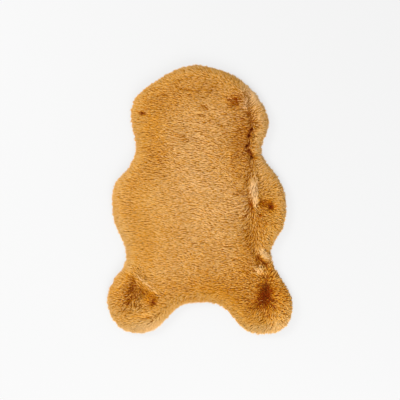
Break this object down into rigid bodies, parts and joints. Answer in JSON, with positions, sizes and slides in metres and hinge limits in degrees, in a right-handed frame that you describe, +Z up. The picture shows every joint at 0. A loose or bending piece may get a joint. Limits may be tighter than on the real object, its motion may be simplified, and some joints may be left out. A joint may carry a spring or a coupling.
{
  "type": "sheepskin rug",
  "caption": "Small plush sheepskin rug cut to a hide's outline, with a rounded head, foreleg and hind leg lobes, lying flat on its plain underside.",
  "frame": {"origin": "on the floor under the middle of the rug's bounding box", "axes": "+X to the rug's right as seen from above with the head away, +Y along the rug towards the head end, +Z up out of the pile"},
  "size_m": [0.55, 0.8, 0.0319],
  "materials": {
    "plush_pile": "dense short golden plush pile, matt with a soft sheen"
  },
  "bodies": {
    "root": {"rug": "plush_pile"}
  },
  "joints": []
}
